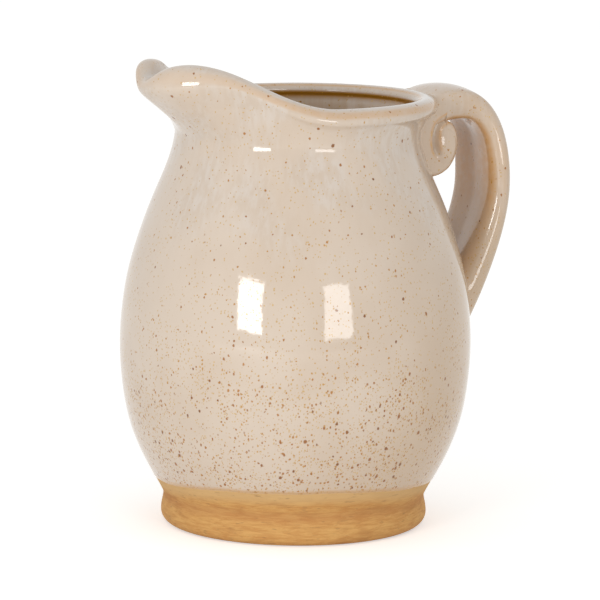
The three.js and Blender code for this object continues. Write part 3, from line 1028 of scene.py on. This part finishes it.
def speckled_glaze():
    """Cream reactive glaze on stoneware, dipped and fired: glossy and smooth, with iron specks that
    thicken toward the foot, pale runs below the rim, tan where it thins, white where it pools, and
    painted shade below the rim, inside, under the roll and on the handle."""
    material, tree = new_tree("stoneware_cream_reactive_glaze_dipped")
    put = partial(add, tree)
    own_place = put("TexCoord", out="Object")
    place = put("VectorMath", {"operation": "SCALE"}, {0: own_place, "Scale": 1 / MM})
    height = put("SeparateXYZ", None, {0: place}, 2)
    above, thin, pooled, iron, inside = [
        put("Attribute", {"attribute_name": name}, out="Fac") for name in wall_finish
    ]

    # Patterns of the glaze, each with the size of its patches in millimetres
    clouds, patches, mottle, clusters, ragged, ripple = [
        put("TexNoise", None, {"Vector": place, "Scale": 1 / size, "Detail": detail})
        for size, detail in ((38, 2.0), (26, 1.0), (3.2, 3.0), (21, 2.0), (1.6, 2.0), (6.5, 2.0))
    ]

    # Cream body of the glaze, a little cloudy
    share = put("MapRange", SOFT, {0: clouds, 1: 0.35, 2: 0.65})
    colour = put("Mix", COLOUR, {0: share, 6: "#d3c0ac", 7: "#d9c8b6"}, MIXED)

    # Warmer and darker toward the handle side, a little toward the front, and low down
    side = {0: place, 1: (1.0, -0.3, -0.45)}
    leeward = put("VectorMath", {"operation": "DOT_PRODUCT"}, side, "Value")
    share = put("MapRange", SOFT, {0: leeward, 1: -22.0, 2: 58.0, 4: 0.7})
    colour = put("Mix", COLOUR, {0: share, 6: colour, 7: "#ccae8a"}, MIXED)

    # Pale runs below the rim, as wide as a run of glaze and drawn out downward, between darker
    # streaks whose tone paints the shade below the rim
    run_place = put("VectorMath", TIMES, {0: place, 1: (1 / 2.6, 1 / 2.6, 1 / 22)})
    look = {"Scale": 1.0, "Detail": 3.0, "Roughness": 0.6}
    runs = put("TexNoise", None, {"Vector": run_place, **look})
    run_share = put("MapRange", SOFT, {0: runs, 1: 0.36, 2: 0.66})
    run_height = put("MapRange", SOFT, {0: height, 1: 108.0, 2: 150.0, 4: 0.34})
    run_patch = put("MapRange", SOFT, {0: patches, 1: 0.4, 2: 0.62, 3: 0.15})
    run_thick = put("MapRange", SOFT, {0: thin, 1: 0.25, 2: 0.05})
    run_band = put("Math", TIMES, {0: run_height, 1: run_thick})
    run_mask = put("Math", TIMES, {0: run_band, 1: run_patch})
    run_and_shade_colour = put("Mix", COLOUR, {0: run_share, 6: "#c5b4a2", 7: "#d4d0cd"}, MIXED)
    colour = put("Mix", COLOUR, {0: run_mask, 6: colour, 7: run_and_shade_colour}, MIXED)

    # Tan where the glaze breaks thin, grey where it pools, a browner tint that paints shade inside
    # the jug and on the handle, and brown in the undercut from iron and painted shade
    mottle_share = put("MapRange", None, {0: mottle, 1: 0.3, 2: 0.7, 3: 0.6, 4: 1.0})
    tan = put("Math", TIMES, {0: thin, 1: mottle_share})
    pool = put("Math", TIMES, {0: pooled, 1: 0.75})
    shade_tint = put("Math", TIMES, {0: inside, 1: 0.4})
    brown = put("MapRange", None, {0: iron, 1: 0.05, 2: 0.95})
    layers = ((tan, "#cfa06a"), (pool, "#d3cbc2"), (shade_tint, "#c49a66"), (brown, "#a67220"))
    for share, hue in layers:
        colour = put("Mix", COLOUR, {0: share, 6: colour, 7: hue}, MIXED)

    # Iron specks, thick near the foot and sparse above, melted unevenly and drawn out downward
    uneven = put("TexNoise", None, {"Vector": place, "Scale": 1 / 0.9, "Detail": 1.0}, "Color")
    push = {0: uneven, 1: (0.7, 0.7, 0.7), 2: place}
    pushed = put("VectorMath", {"operation": "MULTIPLY_ADD"}, push)
    speck_place = put("VectorMath", TIMES, {0: pushed, 1: (1.0, 1.0, 0.8)})
    cluster = put("MapRange", None, {0: clusters, 1: 0.3, 2: 0.7, 3: 0.35, 4: 1.35})
    all_specks = None
    for spacing, radius, kept_low, kept_high, clear_height, pale, dark, strength in iron_specks:
        cells = {"Vector": speck_place, "Scale": 1 / spacing}
        distance = put("TexVoronoi", None, cells, "Distance")
        chances = put("SeparateColor", None, {0: distance.node.outputs["Color"]}).node.outputs
        fewer = {1: thick_speck_height, 2: clear_height, 3: kept_low, 4: kept_high}
        kept = put("MapRange", SOFT, {0: height, **fewer})
        kept_here = put("Math", TIMES, {0: kept, 1: cluster})
        chosen = put("Math", {"operation": "LESS_THAN"}, {0: chances[0], 1: kept_here})
        largest = radius / spacing
        size = put("MapRange", None, {0: chances[1], 3: smallest_speck_share * largest, 4: largest})
        solid_size = put("Math", TIMES, {0: size, 1: solid_speck_share})
        spot = put("MapRange", SOFT, {0: distance, 1: size, 2: solid_size, 4: strength})
        speck = put("Math", TIMES, {0: spot, 1: chosen})
        speck_colour = put("Mix", COLOUR, {0: chances[2], 6: pale, 7: dark}, MIXED)
        colour = put("Mix", COLOUR, {0: speck, 6: colour, 7: speck_colour}, MIXED)
        if all_specks is None:
            all_specks = speck
        else:
            all_specks = put("Math", {"operation": "MAXIMUM"}, {0: all_specks, 1: speck})

    # Glaze gives way to bare clay at its lower edge
    ragged_edge = put("MapRange", None, {0: ragged, 3: -0.35, 4: 0.35})
    edge = put("Math", PLUS, {0: above, 1: ragged_edge})
    covered = put("MapRange", SOFT, {0: edge, 1: -0.3, 2: 0.5})
    edge_low = put("MapRange", SOFT, {0: edge, 1: -0.1, 2: 0.25})
    edge_high = put("MapRange", SOFT, {0: edge, 1: 2.4, 2: 0.3})
    edge_thin = put("Math", TIMES, {0: edge_low, 1: edge_high})
    share = put("Math", TIMES, {0: edge_thin, 1: 0.75})
    colour = put("Mix", COLOUR, {0: share, 6: colour, 7: "#c99a5c"}, MIXED)
    bare, clay_relief = clay_colour(tree, place, height, above)
    colour = put("Mix", COLOUR, {0: covered, 6: bare, 7: colour}, MIXED)

    # Glaze is smooth with a faint ripple, clay is dry and brushed
    pitted = put("Math", {"operation": "MULTIPLY_ADD"}, {0: all_specks, 1: -0.05, 2: ripple})
    clay_height = put("Math", TIMES, {0: clay_relief, 1: 0.9})
    relief = put("Mix", NUMBER, {0: covered, 2: clay_height, 3: pitted})
    bump = put("Bump", None, {"Strength": 0.35, "Distance": 0.0002, "Height": relief})
    glaze_rough = put("MapRange", None, {0: all_specks, 3: 0.06, 4: 0.09})
    rough = put("Mix", NUMBER, {0: covered, 2: 0.82, 3: glaze_rough})
    looks = {"Base Color": colour, "Roughness": rough, "Normal": bump, "IOR": 1.6, "Metallic": 0.0}
    shader = put("BsdfPrincipled", None, looks)
    put("OutputMaterial", None, {"Surface": shader})
    return material


glaze = speckled_glaze()
dressed = (
    (belly_shell, "body_wall", "cream_glaze"),
    (rim_collar, "neck_collar", "cream_glaze"),
    (spout_lip, "pouring_spout", "cream_glaze"),
    (strap_handle, "handle_strap", "cream_glaze"),
    (handle_volute, "handle_scroll", "cream_glaze"),
    (clay_foot, "foot_ring", "bare_clay"),
    (floor_disc, "base_slab", "bare_clay"),
)
for piece, node, slot in dressed:
    piece.data.materials.append(glaze)
    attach(piece, "root")
    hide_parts(node)

# Studio in metres: a pale floor, an even white surround, and two soft boxes on the camera's side
floor_half = 3.0
floor_drop = 0.0002
floor_glow = 0.46
surround_level = 0.645
white = (1.0, 1.0, 1.0, 1.0)
corners = [(x * floor_half, y * floor_half, 0) for x, y in ((-1, -1), (1, -1), (1, 1), (-1, 1))]
studio_floor_mesh = bpy.data.meshes.new("studio_floor")
studio_floor_mesh.from_pydata(corners, [], [[0, 1, 2, 3]])
studio_floor = bpy.data.objects.new("studio_floor", studio_floor_mesh)
bpy.context.scene.collection.objects.link(studio_floor)
studio_floor.location.z = -floor_drop


def looked_at(tree):
    """1 where the camera looks, also in a mirror or through glass, and 0 where light bounces."""
    path = add(tree, "LightPath").node.outputs
    seen = add(tree, "Math", PLUS, {0: path["Is Camera Ray"], 1: path["Is Glossy Ray"]})
    clamped = {"operation": "ADD", "use_clamp": True}
    return add(tree, "Math", clamped, {0: seen, 1: path["Is Transmission Ray"]})


def pale_floor():
    """Matt white paper sweep: lit by the lamps, and lifted to white where the camera looks."""
    material, tree = new_tree("matt_white_paper_sweep")
    paper = add(tree, "BsdfDiffuse", None, {"Color": "#f2f1ef"})
    lift = add(tree, "Math", TIMES, {0: looked_at(tree), 1: floor_glow})
    glow = add(tree, "Emission", None, {"Color": white, "Strength": lift})
    both = add(tree, "AddShader", None, {0: paper, 1: glow})
    add(tree, "OutputMaterial", None, {"Surface": both})
    return material


studio_floor_mesh.materials.append(pale_floor())

surround = bpy.data.worlds.new("white_surround")
bpy.context.scene.world = surround
surround.use_nodes = True
sky = surround.node_tree
sky.nodes.clear()
level = add(sky, "MapRange", None, {0: looked_at(sky), 3: surround_level, 4: 1.0})
background = add(sky, "Background", None, {"Color": white, "Strength": level})
add(sky, "OutputWorld", None, {"Surface": background})

lamp_aim = Vector((0, 0, 0.1))
lamp_distance = 1.3


def soft_box(name, azimuth, elevation, width, tall, radiance):
    """A nearly square diffuser that faces the jug's belly."""
    light = bpy.data.lights.new(name, "AREA")
    light.shape = "RECTANGLE"
    light.size = width
    light.size_y = tall
    light.energy = radiance * math.pi * width * tall
    box = bpy.data.objects.new(name, light)
    a = math.radians(azimuth)
    e = math.radians(elevation)
    toward = Vector((math.sin(a) * math.cos(e), -math.cos(a) * math.cos(e), math.sin(e)))
    box.location = lamp_aim + toward * lamp_distance
    box.rotation_euler = (-toward).to_track_quat("-Z", "Y").to_euler()
    bpy.context.scene.collection.objects.link(box)


soft_box("left_soft_box", azimuth=-54.6, elevation=9.5, width=0.39, tall=0.38, radiance=9.8)
soft_box("right_soft_box", azimuth=1.6, elevation=8.5, width=0.39, tall=0.37, radiance=5.0)

# Camera at the photograph's place, in metres and degrees: a long lens that leans very slightly
camera_azimuth = -25.0
camera_distance = 1.83
camera_height = 0.397
look_height = 0.0965
look_right = 0.0018
camera_lean = 0.7
camera_data = bpy.data.cameras.new("camera")
camera_data.sensor_width = 36.0
camera_data.lens = 258.0
camera_data.clip_end = 50.0
camera = bpy.data.objects.new("camera", camera_data)
bpy.context.scene.collection.objects.link(camera)
turn = math.radians(camera_azimuth)
sideways, forward = math.sin(turn) * camera_distance, math.cos(turn) * camera_distance
camera_place = Vector((sideways, -forward, camera_height))
side = Vector((math.cos(turn), math.sin(turn), 0))
look_at = Vector((0, 0, look_height)) + side * look_right
ahead = (look_at - camera_place).normalized()
right = ahead.cross(Vector((0, 0, 1))).normalized()
up = right.cross(ahead)
lean = math.radians(camera_lean)
leaning_right = right * math.cos(lean) + up * math.sin(lean)
leaning_up = up * math.cos(lean) - right * math.sin(lean)
axes = Matrix((leaning_right, leaning_up, -ahead)).transposed()
camera.matrix_world = Matrix.Translation(camera_place) @ axes.to_4x4()
bpy.context.scene.camera = camera
bpy.context.scene.view_settings.view_transform = "Standard"
